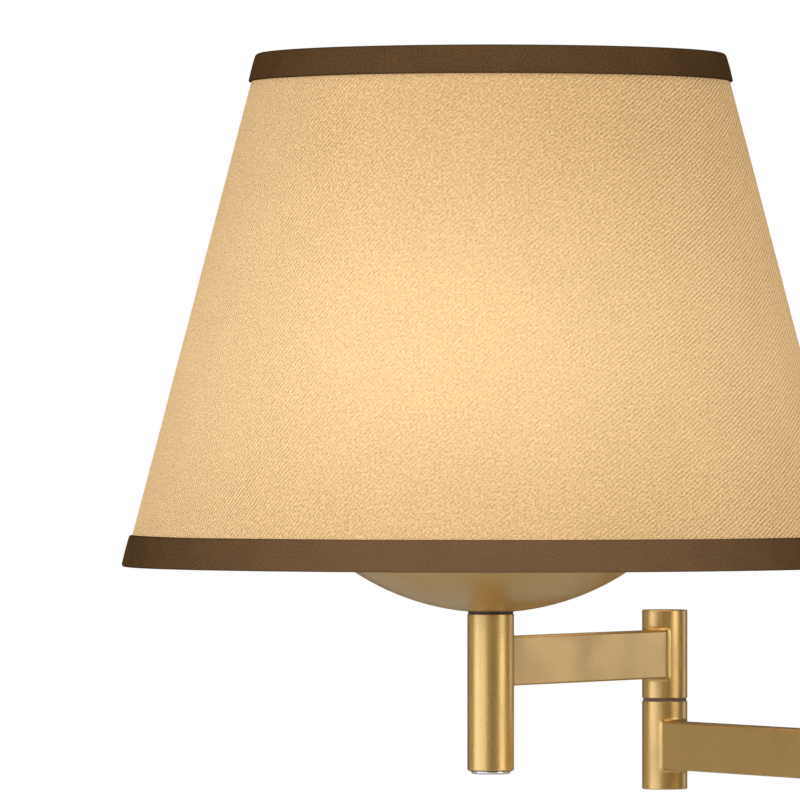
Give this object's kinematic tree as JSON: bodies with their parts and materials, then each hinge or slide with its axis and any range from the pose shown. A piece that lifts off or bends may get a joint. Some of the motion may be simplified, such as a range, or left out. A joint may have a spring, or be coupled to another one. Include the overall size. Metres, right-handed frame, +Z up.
{
  "type": "swing arm wall sconce",
  "caption": "Wall lamp on a two-section swing arm, with a tapered linen shade over a shallow brass bowl and a push switch at the foot of its post.",
  "frame": {"origin": "centre of the mounting strap's back, on the wall", "axes": "+Z up, wall is the plane Y = 0, the lamp stands out towards -Y, +X to the right seen from the room"},
  "size_m": [0.3031, 0.3706, 0.3868],
  "materials": {
    "satin_brass": "satin, fine sanded",
    "brass_fittings": "brushed",
    "zinc_steel": "zinc plated",
    "screw_shell": "plain",
    "green_screw": "painted",
    "fibre_washer": "matt",
    "black_lead": "matt",
    "orange_plastic": "gloss",
    "black_plastic": "matt",
    "porcelain": "glazed",
    "frosted_glass": "frosted, lit warm",
    "shade_backing": "matt white",
    "linen": "natural linen twill",
    "brown_trim": "woven brown band",
    "nickel_button": "satin nickel"
  },
  "bodies": {
    "wall_bracket": {"wall_plate": "satin_brass", "mounting_strap": "zinc_steel", "strap_studs": "zinc_steel", "cap_nuts": "satin_brass", "ground_screw": "green_screw", "bracket_flange": "satin_brass", "bracket_nipple": "zinc_steel", "bracket_locknut": "zinc_steel", "bracket_bar": "satin_brass", "bracket_knuckle": "satin_brass", "bracket_cap": "satin_brass", "wall_pivot_tube": "zinc_steel", "wall_pivot_nut": "zinc_steel", "wall_spring_washer": "zinc_steel", "wall_friction_washer": "fibre_washer", "wall_stop_pin": "zinc_steel", "bracket_lead": "black_lead", "wire_connectors": "orange_plastic"},
    "lower_arm": {"lower_arm_bar": "satin_brass", "lower_arm_wall_knuckle": "satin_brass", "lower_arm_elbow_knuckle": "satin_brass", "lower_arm_caps": "satin_brass", "elbow_pivot_tube": "zinc_steel", "elbow_pivot_nut": "zinc_steel", "elbow_spring_washer": "zinc_steel", "elbow_friction_washer": "fibre_washer", "elbow_stop_pin": "zinc_steel", "lower_arm_lead": "black_lead"},
    "upper_arm": {"upper_arm_bar": "satin_brass", "upper_arm_knuckle": "satin_brass", "upper_arm_cap": "satin_brass", "upper_arm_lead": "black_lead", "post": "satin_brass", "post_nipple": "zinc_steel", "bowl_washer": "black_plastic", "bowl": "satin_brass", "bowl_nut": "zinc_steel", "harp_saddle": "brass_fittings", "harp_ferrules": "brass_fittings", "harp": "brass_fittings", "socket_cap": "brass_fittings", "socket_base": "porcelain", "socket_screw_shell": "screw_shell", "socket_insulator": "fibre_washer", "socket_shell": "brass_fittings", "socket_lead": "black_lead", "bulb_base": "zinc_steel", "bulb_glass": "frosted_glass", "shade_liner": "shade_backing", "shade_linen": "linen", "shade_top_ring": "zinc_steel", "shade_bottom_ring": "zinc_steel", "trim_top": "brown_trim", "trim_bottom": "brown_trim", "spider": "brass_fittings", "finial": "satin_brass", "switch_body": "black_plastic", "switch_sleeve": "black_plastic"},
    "switch_button": {"switch_button": "nickel_button"}
  },
  "joints": [
    {"name": "wall_swing", "type": "hinge", "parent": "wall_bracket", "child": "lower_arm", "pos_m": [0, -0.075, 0.0193], "axis": [0, 0, 1], "range_deg": [-24.3, 145.7]},
    {"name": "elbow_swing", "type": "hinge", "parent": "lower_arm", "child": "upper_arm", "pos_m": [-0.12296, -0.144, 0.0579], "axis": [0, 0, 1], "range_deg": [-258.54, 21.46]},
    {"name": "switch_press", "type": "slide", "parent": "upper_arm", "child": "switch_button", "axis": [0, 0, 1], "range_m": [0, 0.0012], "stiffness_N_per_m": 800, "springref_m": -0.001}
  ]
}
